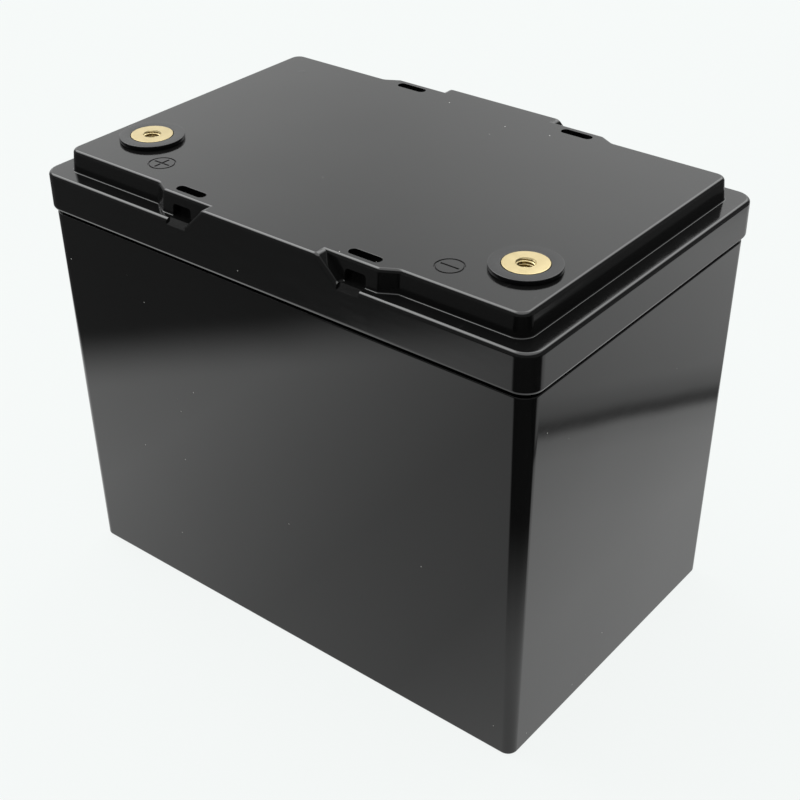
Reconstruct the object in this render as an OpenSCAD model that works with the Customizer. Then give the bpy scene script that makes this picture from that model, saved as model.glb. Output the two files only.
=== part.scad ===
// 12 V battery pack in a black two-part plastic box: eight flat cells, wired four in
// series and two in parallel, with a protection board above them and two M8 terminals.
// Origin: middle of the base. +X runs along the long side, +Z is up, and the terminals
// stand beside the -Y wall.

/* [Box] */
// Length over the lid skirt
lid_len = 260; // [260:1:268]
// Width over the lid skirt
lid_wid = 168; // [168:1:174]
// Height of the raised top face above the base
top_z = 210.4; // [209:0.1:214]
// Height of the raised top above the ledge around it
raise_h = 9.7; // [9.5:0.1:10.5]
// Height of the skirt, from its lower edge to the ledge
skirt_h = 17; // [16:0.1:18]
// Gap between the skirt and the case's shoulder below it
seam_gap = 2.2; // [1:0.1:2.6]
// Radius of the lid's upright corners
lid_corner_r = 8.6; // [7:0.2:10]
// Thickness of the lid
lid_wall = 3; // [2.6:0.1:3.2]
// Overhang of the skirt past the case
overhang = 1.5; // [1.3:0.1:1.8]
// Draft of each case wall between its shoulder and the base
case_draft = 2.3; // [1.6:0.1:2.4]
// Thickness of the case floor
floor_t = 3.5; // [2.5:0.1:4]

/* [Raised top] */
// Ledge width at the two ends
ledge_end = 8.8; // [8:0.1:10]
// Ledge width along the long sides
ledge_side = 8.3; // [8:0.1:9]
// Ledge width beside the strap slots
ledge_slot = 4.4; // [4:0.1:5]
// Half length of the middle stretch that is flush with the skirt
flush_half = 30.5; // [28:0.5:32]
// Length of the slope at each end of the flush stretch
flush_slope = 10; // [8:0.5:11]
// Distance of each strap slot from the middle of its side
slot_x = 46.3; // [46:0.1:48]
// Length of a strap slot
slot_len = 15.6; // [14:0.2:17]
// Width of a strap slot
slot_wid = 4.5; // [4.2:0.1:5]

/* [Terminals] */
// Distance of each terminal from the middle, along X
term_x = 99.6; // [98:0.1:102]
// Place of the terminals, along Y
term_y = -44.4; // [-45:0.1:-42]
// Diameter of the brass face
term_face_d = 18.6; // [18:0.1:20]
// Diameter of the black collar
collar_d = 28.8; // [27:0.1:31]
// Height of the collar above the raised top
collar_h = 2; // [1.6:0.1:2.6]
// Core diameter of the M8 thread in the brass
m8_core_d = 6.8; // [6.6:0.05:6.9]
// Depth of the M8 hole
m8_depth = 12; // [10:0.5:13]

/* [Cells] */
// Thickness of one cell
cell_t = 26.7; // [26:0.1:26.7]
// Width of one cell
cell_w = 148.6; // [147:0.1:148.6]
// Height of a cell's can
cell_h = 126.5; // [124:0.1:127]
// Thickness of the sheet between two cells
sheet_t = 0.8; // [0.5:0.1:0.8]
// Distance of the cell posts from the middle, along Y
post_y = 51; // [50:0.5:52]

/* [Wiring] */
// Diameter of the main leads
lead_d = 8; // [7:0.5:8]
// Diameter of the sense wires
sense_d = 1.6; // [1.4:0.1:1.8]

/* [Hidden] */
$fn = 64;

// Box, derived
ledge_z = top_z - raise_h;
skirt_z = ledge_z - skirt_h;
shoulder_z = skirt_z - seam_gap;
skirt_lip = [0.8, 2.4];
rim_z = ledge_z - 4.7;
case_len = lid_len - 2 * overhang;
case_wid = lid_wid - 2 * overhang;
skirt_wall = 3.2;
rim_gap = 0.5;
rim_len = lid_len - 2 * (skirt_wall + rim_gap);
rim_wid = lid_wid - 2 * (skirt_wall + rim_gap);
rim_t = 2.9;
bay_len = rim_len - 2 * rim_t;
bay_wid = rim_wid - 2 * rim_t;
case_corner_r = lid_corner_r - overhang;
rim_corner_r = case_corner_r - 1;
bay_corner_r = 3;
edge_r = 1.8;
ledge_under = ledge_z - lid_wall;
top_under = top_z - lid_wall;

// Raised top, derived: its outline at the foot as corners [x, y, radius], and its side profile
top_hx = lid_len / 2 - ledge_end;
top_hy = lid_wid / 2 - ledge_side;
top_hs = lid_wid / 2 - ledge_slot;
jog_x = [57.2, 64.2];
top_quarter = [[top_hx, top_hy, 6], [jog_x[1], top_hy, 3], [jog_x[0], top_hs, 3]];
top_corners = concat(
    top_quarter,
    [for (i = [2:-1:0]) [-top_quarter[i][0], top_quarter[i][1], top_quarter[i][2]]],
    [for (c = top_quarter) [-c[0], -c[1], c[2]]],
    [for (i = [2:-1:0]) [top_quarter[i][0], -top_quarter[i][1], top_quarter[i][2]]]);
top_draft = 0.8;
foot_r = 1.2;
top_levels = concat(
    [[-foot_r, ledge_z - 2], [-foot_r, ledge_z]],
    [[-foot_r * 0.3, ledge_z + foot_r * 0.3], [0, ledge_z + foot_r]],
    [for (i = [0:5]) [top_draft + edge_r * (1 - cos(18 * i)), top_z - edge_r * (1 - sin(18 * i))]]);
inner_levels = [[lid_wall - foot_r, skirt_z - 1], [lid_wall, ledge_z], [lid_wall + top_draft, top_under]];

// Strap slots, their windows through the wall, and the marks beside the terminals
slot_y = lid_wid / 2 - 10.8;
window_len = 10.2;
window_h = 5.2;
window_r = 1.5;
relief_x = slot_x - 0.4;
relief_len = 10.8;
relief_w = 3.4;
mark_x = 76.6;
mark_y = -60.7;
mark_d = 12.2;
mark_line = 0.9;
mark_arm = 8.6;
mark_depth = 0.5;

// Cell pack, derived
cell_count = 8;
pad_t = 4;
cell_z = floor_t + pad_t;
can_top = cell_z + cell_h;
pitch = cell_t + sheet_t;
stack_half = (cell_count * pitch - sheet_t) / 2;
plate_t = 4;
plate_gap = 0.3;
plate_x = stack_half + plate_gap;
plate_wid = cell_w - 5;
plate_screw_y = [18, 34];
side_pad_t = 1.5;
end_pad_t = bay_len / 2 - plate_x - plate_t - 1.6;
strap_z = [40, 104];
strap_w = 16;
strap_t = 0.7;
post_h = 3;
post_r = 7.5;
bar_z = can_top + post_h;
bar_t = 2;
bar_w = 22;
washer_t = 0.8;
head_z = bar_z + bar_t + washer_t;
tray_z = can_top + 12;
tray_t = 2;
tray_half = plate_x + plate_t;
tray_arm = [14, 38];
spacer_h = 5;
sink_t = 3;
board_z = tray_z + tray_t + spacer_h + sink_t + 1;
board_t = 1.6;
board_top = board_z + board_t;
board_box = [[-56, -32], [54, 34]];
board_holes = [[-51, -27], [49, -27], [-51, 31], [49, 31]];

// Lugs: place of the bolt hole, height of the palm's underside, heading of the barrel
lug_palm_t = 2;
lug_r = 7;
lug_neck = 12;
lug_barrel = 12;
lug_barrel_d = 10;
sleeve_t = 0.6;
sleeve_len = 14;
bar_lug_x = 82.5;
board_lug_x = 36;
low_lugs = [[-bar_lug_x, -post_y, bar_z + bar_t, 90], [bar_lug_x, -post_y, bar_z + bar_t, 90],
    [board_lug_x, 6, board_top, 0], [board_lug_x, 22, board_top, 0]];
lug_reach = lug_neck + lug_barrel;
lug_bore = 6;

// Terminal stack below the raised top, derived
term_z = top_z + collar_h + 0.1;
m8_lead_in = 0.55;
flange_t = 2.4;
o_ring_gap = 1.5;
spigot_r = 12;
shank_r = 6;
clamp_washer_t = 1.5;
clamp_nut_t = 6;
upper_lug_z = top_under - clamp_washer_t - clamp_nut_t - lug_palm_t;
lug_nut_t = 5;
lead_top_z = upper_lug_z + lug_palm_t - lug_barrel_d / 2;
lead_top_y = term_y + lug_reach;

// Routes of the three main leads and the sense wires
lead_low_z = bar_z + bar_t + lug_barrel_d / 2;
lead_board_z = board_top + lug_barrel_d / 2;
lead_pos_route = [[-bar_lug_x, -post_y + lug_reach - lug_bore, lead_low_z], [-bar_lug_x, -18, lead_low_z + 1],
    [-81, 2, 150], [-77, 24, 158], [-79, 46, 164], [-92, 58, 170], [-107, 48, 177],
    [-109, 26, 185], [-104.5, 5, lead_top_z - 1], [-term_x, -9, lead_top_z],
    [-term_x, lead_top_y + 3, lead_top_z], [-term_x, lead_top_y - lug_bore, lead_top_z]];
lead_board_route = [[bar_lug_x, -post_y + lug_reach - lug_bore, lead_low_z], [bar_lug_x, -20, lead_low_z + 1],
    [82, -9, 149], [78, 1, 157], [69, 5.5, lead_board_z - 0.5],
    [board_lug_x + lug_reach - lug_bore, 6, lead_board_z]];
lead_neg_route = [[board_lug_x + lug_reach - lug_bore, 22, lead_board_z], [72, 22, lead_board_z],
    [92, 27, 166], [104, 46, 169], [94, 62, 173], [77, 54, 177], [78, 34, 181],
    [96, 24, 186], [101.5, 7, lead_top_z - 1.5], [term_x, -8, lead_top_z],
    [term_x, lead_top_y + 3, lead_top_z], [term_x, lead_top_y - lug_bore, lead_top_z]];
plug_y = board_box[0][1] - 6;
wire_z = board_top + 3.5;
sense_points = [[cell_x(1), -post_y], [cell_x(2), post_y], [cell_x(3), -post_y], [cell_x(4), post_y],
    [cell_x(6), -post_y]];
sense_routes = [
    [[-6, plug_y, wire_z], [-8, -46, wire_z - 1], [-30, -53, 154], [-53, -54, 146], [-61.6, -52, 140.4]],
    [[-3.6, plug_y, wire_z], [-4, -46, wire_z - 2], [-6, -49, 154], [-9, -42, 150], [-18, -10, 150],
        [-24, 24, 150], [-31, 40, 149], [-37.2, 45, 140.4]],
    [[-1.2, plug_y, wire_z], [-1, -46, wire_z - 2], [-3.5, -53, 151], [-6.6, -52.6, 140.4]],
    [[1.2, plug_y, wire_z], [1.5, -46, wire_z - 2], [3, -49, 154], [5, -42, 150], [7, -10, 150],
        [9, 24, 150], [10.6, 38, 149], [11.6, 44, 140.4]],
    [[3.6, plug_y, wire_z], [8, -46, wire_z - 1], [30, -53, 154], [53, -54, 146], [61.6, -52, 140.4]],
    [[6, plug_y, wire_z], [7, -45, wire_z - 4], [9, -47, 153], [12, -42, 147], [13.5, -35, 140],
        [13.75, -28, 135.8], [13.75, -23, 135.2]]];

// ---------- helpers ----------

function unit(v) = v / norm(v);
// Side profile [inset, z] whose top edge is a quarter round of radius r
function rounded_top(z0, z1, r, inset0 = 0, inset1 = 0, n = 5) = concat([[inset0, z0]],
    [for (i = [0:n]) [inset1 + r * (1 - cos(90 * i / n)), z1 - r + r * sin(90 * i / n)]]);

// Corner of a closed outline moved inwards by d, where corner = [x, y, radius]
function moved(a, b, c, d) =
    let (u = unit([b[0] - a[0], b[1] - a[1]]), v = unit([c[0] - b[0], c[1] - b[1]]))
    let (m = [-u[1], u[0]], n = [-v[1], v[0]])
    [b[0], b[1]] + d * (m + n) / (1 + m * n);
// Points of the arc that rounds corner b of an outline moved inwards by d
function corner_arc(a, b, c, d, steps = 6) =
    let (u = unit([b[0] - a[0], b[1] - a[1]]), v = unit([c[0] - b[0], c[1] - b[1]]))
    let (turn = atan2(u[0] * v[1] - u[1] * v[0], u * v), side = sign(turn))
    let (r = max(b[2] - side * d, 0.3), p = moved(a, b, c, d), start = p - u * r * tan(abs(turn) / 2))
    let (centre = start + side * r * [-u[1], u[0]], from = start - centre)
    b[2] == 0 ? [p] : [for (i = [0:steps]) let (t = turn * i / steps)
        centre + [from[0] * cos(t) - from[1] * sin(t), from[0] * sin(t) + from[1] * cos(t)]];
function rounded_outline(corners, d) = let (n = len(corners))
    [for (i = [0:n - 1]) each corner_arc(corners[(i + n - 1) % n], corners[i], corners[(i + 1) % n], d)];

// Solid through one loop of points per level [inset, z]
module outline_loft(corners, levels) {
    loops = [for (l = levels) [for (p = rounded_outline(corners, l[0])) [p[0], p[1], l[1]]]];
    n = len(loops[0]);
    last = len(levels) - 1;
    sides = [for (k = [0:last - 1], i = [0:n - 1])
        let (j = (i + 1) % n) [k * n + i, (k + 1) * n + i, (k + 1) * n + j, k * n + j]];
    caps = [[for (i = [0:n - 1]) i], [for (i = [n - 1:-1:0]) last * n + i]];
    polyhedron([for (loop = loops) each loop], concat(sides, caps), convexity = 6);
}

// Block with rounded upright corners, whose sides follow profile = [[inset, z], ...]
module profiled_block(length, width, r, profile) {
    hx = length / 2 - r;
    hy = width / 2 - r;
    side = [for (p = profile) [r - p[0], p[1]]];
    back = [for (i = [len(side) - 1:-1:0]) side[i]];
    rotate([90, 0, 0]) linear_extrude(2 * hy, center = true)
        polygon(concat([for (p = side) [hx + p[0], p[1]]], [for (p = back) [-hx - p[0], p[1]]]));
    rotate([90, 0, 90]) linear_extrude(2 * hx, center = true)
        polygon(concat([for (p = side) [hy + p[0], p[1]]], [for (p = back) [-hy - p[0], p[1]]]));
    for (x = [-hx, hx], y = [-hy, hy])
        translate([x, y, 0])
            rotate_extrude() polygon(concat([[0, side[0][1]]], side, [[0, back[0][1]]]));
}

module rounded_rect(length, width, r) {
    square([length - 2 * r, width], center = true);
    square([length, width - 2 * r], center = true);
    for (x = [-1, 1], y = [-1, 1])
        translate([x * (length / 2 - r), y * (width / 2 - r)]) circle(r);
}

module rounded_box(length, width, height, r) {
    linear_extrude(height) rounded_rect(length, width, r);
}

module frame_ring(length, width, height, r, wall) {
    linear_extrude(height) difference() {
        rounded_rect(length, width, r);
        rounded_rect(length - 2 * wall, width - 2 * wall, max(r - wall, 0.3));
    }
}

module slot_shape(length, width) {
    square([length - width, width], center = true);
    for (x = [-1, 1])
        translate([x * (length - width) / 2, 0]) circle(width / 2);
}

module hex(flats, height) {
    cylinder(h = height, r = flats / sqrt(3), $fn = 6);
}

// Hexagon-headed screw standing on z = 0, its shank reaching down
module screw(d, flats, head_h, depth) {
    cylinder(h = 1, r = flats * 0.68);
    translate([0, 0, 1]) hex(flats, head_h);
    translate([0, 0, -depth]) cylinder(h = depth, d = d);
}

// Pan-headed screw standing on z = 0, its shank reaching down
module small_screw(d, depth) {
    difference() {
        cylinder(h = 1.8, r = d);
        translate([0, 0, 1]) cylinder(h = 1, r = 0.9, $fn = 6);
    }
    translate([0, 0, -depth]) cylinder(h = depth, d = d);
}

// Smooth curve through a route's points
function curve_point(r, i, t) =
    let (n = len(r) - 1, p0 = i > 0 ? r[i - 1] : 2 * r[0] - r[1], p1 = r[i], p2 = r[i + 1])
    let (p3 = i + 2 <= n ? r[i + 2] : 2 * r[n] - r[n - 1])
    0.5 * (2 * p1 + (p2 - p0) * t + (2 * p0 - 5 * p1 + 4 * p2 - p3) * t * t
        + (3 * p1 - p0 - 3 * p2 + p3) * t * t * t);
function smooth_route(r, steps) = concat(
    [for (i = [0:len(r) - 2], k = [0:steps - 1]) curve_point(r, i, k / steps)], [r[len(r) - 1]]);
function heading(p, i) = unit(p[min(i + 1, len(p) - 1)] - p[max(i - 1, 0)]);
// Upright of each ring, carried along the curve without twist
function carried(p, i, up) = i == len(p) ? [] :
    let (t = heading(p, i), n = unit(up - (up * t) * t)) concat([n], carried(p, i + 1, n));

module tube(route, d, steps = 2, sides = 10) {
    p = smooth_route(route, steps);
    ups = carried(p, 0, [0.1, 0.2, 1]);
    rings = [for (i = [0:len(p) - 1]) let (n = ups[i], b = cross(heading(p, i), n))
        [for (k = [0:sides - 1]) p[i] + d / 2 * (cos(360 * k / sides) * n + sin(360 * k / sides) * b)]];
    last = len(p) - 1;
    walls = [for (i = [0:last - 1], k = [0:sides - 1]) let (j = (k + 1) % sides)
        [i * sides + k, (i + 1) * sides + k, (i + 1) * sides + j, i * sides + j]];
    ends = [[for (k = [0:sides - 1]) k], [for (k = [sides - 1:-1:0]) last * sides + k]];
    polyhedron([for (ring = rings) each ring], concat(walls, ends), convexity = 8);
}

// ---------- box ----------

module case() color([0.05, 0.05, 0.055]) difference() {
    union() {
        profiled_block(case_len, case_wid, case_corner_r, [[case_draft + 1.2, 0], [case_draft, 1.2],
            [0, shoulder_z - 0.6], [0.6, shoulder_z]]);
        translate([0, 0, shoulder_z - 4])
            rounded_box(rim_len, rim_wid, rim_z - shoulder_z + 4, rim_corner_r);
    }
    translate([0, 0, floor_t]) rounded_box(bay_len, bay_wid, rim_z, bay_corner_r);
}

module lid_gasket() color([0.12, 0.12, 0.12])
    translate([0, 0, rim_z + 0.1])
        frame_ring(rim_len, rim_wid, ledge_under - rim_z - 0.1, rim_corner_r, rim_t);

// Stretch of the raised top that runs out flush with the skirt on both long sides
module flush_middle() {
    foot = flush_half + flush_slope;
    half = [[foot + 1.5, ledge_z - 4, 0], [foot + 1.5, ledge_z, 0], [foot, ledge_z, 2],
        [flush_half, top_z, 4]];
    profile = concat(half, [for (i = [3:-1:0]) [-half[i][0], half[i][1], half[i][2]]]);
    cut = rounded_top(ledge_z - 5, top_z, edge_r);
    intersection() {
        rotate([90, 0, 0]) linear_extrude(lid_wid, center = true) polygon(rounded_outline(profile, 0));
        rotate([90, 0, 90]) linear_extrude(lid_len, center = true)
            polygon(concat([for (p = cut) [lid_wid / 2 - p[0], p[1]]],
                [for (i = [len(cut) - 1:-1:0]) [cut[i][0] - lid_wid / 2, cut[i][1]]]));
    }
}

// Everything a strap passes through in one corner: slot, chamber, window and relief
module strap_passage() {
    y0 = top_hs - top_draft;
    translate([slot_x, slot_y, ledge_z]) linear_extrude(raise_h + 1) slot_shape(slot_len, slot_wid);
    translate([slot_x, y0, ledge_z]) rotate([90, 0, 0])
        linear_extrude(2 * (y0 - slot_y), center = true) window_shape();
    translate([relief_x, lid_wid / 2, ledge_z]) rotate([45, 0, 0])
        cube([relief_len, relief_w, relief_w], center = true);
}

module window_shape() {
    translate([-window_len / 2, 0]) square([window_len, window_h - window_r]);
    translate([-window_len / 2 + window_r, 0]) square([window_len - 2 * window_r, window_h]);
    for (x = [-1, 1])
        translate([x * (window_len / 2 - window_r), window_h - window_r]) circle(window_r);
}

module at_corners() {
    for (x = [0, 1], y = [0, 1])
        mirror([x, 0, 0]) mirror([0, y, 0]) children();
}

module at_terminals() {
    for (x = [-term_x, term_x])
        translate([x, term_y, 0]) children();
}

// Ring with a cross or a bar inside it, sunk into the raised top
module polarity_mark(x, arms) {
    translate([x, mark_y, top_z - mark_depth]) linear_extrude(1) {
        difference() {
            circle(mark_d / 2);
            circle(mark_d / 2 - mark_line);
        }
        for (a = arms)
            rotate(a) square([mark_arm, mark_line], center = true);
    }
}

module lid() color([0.06, 0.06, 0.065]) difference() {
    union() {
        difference() {
            union() {
                profiled_block(lid_len, lid_wid, lid_corner_r,
                    concat([[skirt_lip[0], skirt_z], [0, skirt_z + skirt_lip[1]]],
                        rounded_top(ledge_z - 5, ledge_z, edge_r)));
                outline_loft(top_corners, top_levels);
                flush_middle();
            }
            translate([0, 0, skirt_z - 1])
                rounded_box(lid_len - 2 * skirt_wall, lid_wid - 2 * skirt_wall,
                    ledge_under - skirt_z + 1, lid_corner_r - skirt_wall);
            outline_loft(top_corners, inner_levels);
        }
        at_corners()
            translate([slot_x, (slot_y + top_hs) / 2 - 3.2, ledge_z - 2.5 + (raise_h - 0.5) / 2])
                cube([slot_len + 5, top_hs - slot_y + slot_wid, raise_h - 0.5], center = true);
    }
    at_corners() strap_passage();
    at_terminals() translate([0, 0, top_under - 1]) cylinder(h = lid_wall + 2, r = spigot_r + 0.2);
    polarity_mark(-mark_x, [0, 90]);
    polarity_mark(mark_x, [0]);
}

// ---------- terminals ----------

module collar() color([0.08, 0.08, 0.085]) difference() {
    union() {
        translate([0, 0, top_z]) cylinder(h = collar_h - 0.2, d = collar_d);
        translate([0, 0, top_z + collar_h - 0.2]) cylinder(h = 0.2, d1 = collar_d, d2 = collar_d - 0.4);
        translate([0, 0, top_under]) cylinder(h = lid_wall + 0.1, r = spigot_r);
    }
    translate([0, 0, term_z - flange_t - o_ring_gap]) cylinder(h = 10, d = term_face_d + 0.3);
    translate([0, 0, top_under - 1]) cylinder(h = 10, r = shank_r + 0.3);
}

module collar_pos() translate([-term_x, term_y, 0]) collar();
module collar_neg() translate([term_x, term_y, 0]) collar();

module terminal() color([0.86, 0.74, 0.46]) difference() {
    union() {
        translate([0, 0, term_z - flange_t]) cylinder(h = flange_t - 0.3, d = term_face_d);
        translate([0, 0, term_z - 0.3]) cylinder(h = 0.3, d1 = term_face_d, d2 = term_face_d - 0.6);
        translate([0, 0, upper_lug_z - lug_nut_t - 1.5])
            cylinder(h = term_z - flange_t - upper_lug_z + lug_nut_t + 2, r = shank_r);
    }
    translate([0, 0, term_z - m8_depth]) cylinder(h = m8_depth + 1, d = m8_core_d);
    translate([0, 0, term_z - m8_lead_in]) cylinder(h = 1, d1 = m8_core_d, d2 = m8_core_d + 2);
}

module terminal_pos() translate([-term_x, term_y, 0]) terminal();
module terminal_neg() translate([term_x, term_y, 0]) terminal();

module terminal_o_rings() color([0.1, 0.1, 0.1]) at_terminals()
    translate([0, 0, term_z - flange_t - o_ring_gap / 2])
        rotate_extrude() translate([shank_r + 1.2, 0]) circle(0.7);

module clamp_washers() color([0.7, 0.7, 0.72]) at_terminals()
    translate([0, 0, top_under - clamp_washer_t]) difference() {
        cylinder(h = clamp_washer_t, r = spigot_r + 2);
        translate([0, 0, -1]) cylinder(h = 5, r = shank_r + 0.2);
    }

module shank_nut(height) {
    difference() {
        hex(18, height);
        translate([0, 0, -1]) cylinder(h = height + 2, r = shank_r + 0.05);
    }
}

module clamp_nuts() color([0.86, 0.74, 0.46]) at_terminals()
    translate([0, 0, top_under - clamp_washer_t - clamp_nut_t]) shank_nut(clamp_nut_t);

module lug_nuts() color([0.86, 0.74, 0.46]) at_terminals()
    translate([0, 0, upper_lug_z - lug_nut_t]) shank_nut(lug_nut_t);

// Cable lug with its palm on z = 0 and its barrel along +X, above or below the palm
module lug(hole_r, palm_r, above = true) {
    z = above ? lug_barrel_d / 2 : lug_palm_t - lug_barrel_d / 2;
    difference() {
        union() {
            cylinder(h = lug_palm_t, r = palm_r);
            translate([0, -lug_barrel_d / 2, 0]) cube([lug_neck + 1, lug_barrel_d, lug_palm_t]);
            translate([lug_neck, 0, z]) rotate([0, 90, 0]) cylinder(h = lug_barrel, d = lug_barrel_d);
        }
        translate([0, 0, -1]) cylinder(h = lug_palm_t + 2, r = hole_r);
        translate([lug_reach - lug_bore, 0, z]) rotate([0, 90, 0]) cylinder(h = 10, d = lead_d + 0.3);
    }
}

module upper_lugs() color([0.75, 0.75, 0.74]) at_terminals()
    translate([0, 0, upper_lug_z]) rotate(90) lug(shank_r + 0.2, 11, above = false);

// ---------- cell pack ----------

function cell_x(i) = (i - (cell_count - 1) / 2) * pitch;

module cell(i) color([0.16, 0.33, 0.62]) translate([cell_x(i), 0, cell_z])
    rounded_box(cell_t, cell_w, cell_h, 2.5);

module cell_1() cell(0);
module cell_2() cell(1);
module cell_3() cell(2);
module cell_4() cell(3);
module cell_5() cell(4);
module cell_6() cell(5);
module cell_7() cell(6);
module cell_8() cell(7);

module cell_sheets() color([0.82, 0.8, 0.62])
    for (i = [0:cell_count - 2])
        translate([cell_x(i) + pitch / 2 - sheet_t / 2, -cell_w / 2 + 2, cell_z])
            cube([sheet_t, cell_w - 4, cell_h]);

module at_posts() {
    for (i = [0:cell_count - 1], y = [-post_y, post_y])
        translate([cell_x(i), y, 0]) children();
}

module cell_posts() color([0.8, 0.8, 0.82]) at_posts() translate([0, 0, can_top]) difference() {
    cylinder(h = post_h, r = post_r);
    translate([0, 0, -1]) cylinder(h = post_h + 2, r = 2.6);
}

module post_seals() color([0.1, 0.1, 0.1]) at_posts() translate([0, 0, can_top]) difference() {
    cylinder(h = 1.2, r = 10);
    translate([0, 0, -1]) cylinder(h = 4, r = post_r + 0.1);
}

module cell_vents() color([0.7, 0.7, 0.72])
    for (i = [0:cell_count - 1])
        translate([cell_x(i), 0, can_top]) rotate(90) linear_extrude(0.4) slot_shape(18, 9);

module end_plate(x) color([0.72, 0.73, 0.75])
    translate([x, 0, cell_z]) difference() {
        translate([0, 0, (tray_z - cell_z) / 2]) cube([plate_t, plate_wid, tray_z - cell_z], center = true);
        for (y = plate_screw_y)
            translate([0, y, tray_z - cell_z - 8]) cylinder(h = 9, r = 1.5);
        for (z = strap_z)
            translate([0, 0, z - cell_z]) difference() {
                cube([plate_t + 2, cell_w, strap_w + 1], center = true);
                cube([plate_t - 1.6, cell_w + 2, strap_w + 2], center = true);
            }
    }

module end_plate_left() end_plate(-plate_x - plate_t / 2);
module end_plate_right() end_plate(plate_x + plate_t / 2);

module strap(z) color([0.12, 0.3, 0.2]) translate([0, 0, z - strap_w / 2])
    frame_ring(2 * (plate_x + plate_t), cell_w + 2 * strap_t + 0.4, strap_w, 3.2, strap_t);

module strap_lower() strap(strap_z[0]);
module strap_upper() strap(strap_z[1]);

// Crimped steel seals where each strap's ends meet, on the end plate's outer side
module strap_seals() color([0.6, 0.6, 0.62])
    for (z = strap_z)
        translate([tray_half, -15, z - strap_w / 2 - 0.3]) cube([1.2, 30, strap_w + 0.6]);

module floor_pad() color([0.2, 0.2, 0.2]) translate([0, 0, floor_t])
    rounded_box(2 * tray_half, cell_w - 1, pad_t, 2.5);

module side_pads() color([0.2, 0.2, 0.2])
    for (y = [-1, 1])
        translate([0, y * (bay_wid / 2 - side_pad_t / 2), cell_z + 60])
            cube([2 * stack_half - 12, side_pad_t, 110], center = true);

module end_pads() color([0.2, 0.2, 0.2])
    for (x = [-1, 1])
        translate([x * (bay_len / 2 - end_pad_t / 2), 0, cell_z + 60])
            cube([end_pad_t, cell_w - 20, 110], center = true);

// ---------- busbars and their screws ----------

// Strip over the posts of cells first to last, with a raised fold between neighbours
module busbar(first, last, y, folds = true) {
    fold = [[-5, 0], [-3, 2.6], [3, 2.6], [5, 0]];
    x0 = cell_x(first) - 11;
    x1 = cell_x(last) + 11;
    humps = folds ? [for (i = [first:last - 1], f = fold) [cell_x(i) + pitch / 2 + f[0], f[1]]] : [];
    low = concat([[x0, 0]], humps, [[x1, 0]]);
    difference() {
        translate([0, y + bar_w / 2, bar_z]) rotate([90, 0, 0]) linear_extrude(bar_w)
            polygon(concat(low, [for (i = [len(low) - 1:-1:0]) low[i] + [0, bar_t]]));
        for (i = [first:last])
            translate([cell_x(i), y, bar_z - 1]) cylinder(h = 4, r = 2.8);
        if (!folds)
            translate([cell_x(first) + pitch / 2, y, bar_z - 1]) cylinder(h = 4, r = 2.8);
    }
}

module busbar_pos() color([0.85, 0.55, 0.35]) busbar(0, 1, -post_y, folds = false);
module busbar_back_left() color([0.85, 0.55, 0.35]) busbar(0, 3, post_y);
module busbar_front() color([0.85, 0.55, 0.35]) busbar(2, 5, -post_y);
module busbar_back_right() color([0.85, 0.55, 0.35]) busbar(4, 7, post_y);
module busbar_neg() color([0.85, 0.55, 0.35]) busbar(6, 7, -post_y, folds = false);

module busbar_screws() color([0.75, 0.75, 0.77]) at_posts()
    translate([0, 0, head_z]) screw(5, 8, 3, bar_t + washer_t + post_h - 0.2);

function sensed(x, y) = len([for (p = sense_points) if (norm(p - [x, y]) < 1) 1]) > 0;

module busbar_washers() color([0.7, 0.7, 0.72])
    for (i = [0:cell_count - 1], y = [-post_y, post_y])
        if (!sensed(cell_x(i), y))
            translate([cell_x(i), y, bar_z + bar_t]) difference() {
                cylinder(h = washer_t, r = 6);
                translate([0, 0, -1]) cylinder(h = 4, r = 2.7);
            }

// Ring tags of the sense wires, each under a busbar screw
module sense_tags() color([0.8, 0.8, 0.78])
    for (i = [0:len(sense_points) - 1])
        translate([sense_points[i][0], sense_points[i][1], bar_z + bar_t]) {
            tail = sense_end(i) - sense_points[i];
            difference() {
                union() {
                    cylinder(h = washer_t, r = 5.5);
                    rotate(atan2(tail[1], tail[0]))
                        translate([0, -1.5, 0]) cube([norm(tail) + 1.5, 3, washer_t]);
                }
                translate([0, 0, -1]) cylinder(h = 4, r = 2.7);
            }
        }

function sense_end(i) = let (p = sense_routes[i][len(sense_routes[i]) - 1]) [p[0], p[1]];

// ---------- protection board ----------

module board_tray() color([0.75, 0.72, 0.45]) translate([0, 0, tray_z]) difference() {
    linear_extrude(tray_t) {
        translate([-tray_half, tray_arm[0]]) square([2 * tray_half, tray_arm[1] - tray_arm[0]]);
        translate([-62, -36]) square([124, tray_arm[1] + 36]);
    }
    for (x = [-1, 1], y = plate_screw_y)
        translate([x * (plate_x + plate_t / 2), y, -1]) cylinder(h = 5, r = 1.6);
    for (p = board_holes)
        translate([p[0], p[1], -1]) cylinder(h = 5, r = 1.4);
}

module tray_screws() color([0.75, 0.75, 0.77])
    for (x = [-1, 1], y = plate_screw_y)
        translate([x * (plate_x + plate_t / 2), y, tray_z + tray_t]) small_screw(2.9, 9);

module board_rect(inset, height) {
    translate([board_box[0][0] + inset, board_box[0][1] + inset, 0])
        cube([board_box[1][0] - board_box[0][0] - 2 * inset,
            board_box[1][1] - board_box[0][1] - 2 * inset, height]);
}

module board_spacers() color([0.8, 0.68, 0.4])
    for (p = board_holes)
        translate([p[0], p[1], tray_z + tray_t]) difference() {
            hex(5.5, spacer_h);
            translate([0, 0, -1]) cylinder(h = spacer_h + 2, r = 1.5);
        }

module board_heatsink() color([0.7, 0.71, 0.73])
    translate([0, 0, tray_z + tray_t + spacer_h]) difference() {
        union() {
            board_rect(0, sink_t);
            for (p = board_holes)
                translate([p[0], p[1], 0]) cylinder(h = sink_t + 1, r = 3.2);
        }
        for (p = board_holes)
            translate([p[0], p[1], -1]) cylinder(h = 8, r = 1.6);
    }

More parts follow.
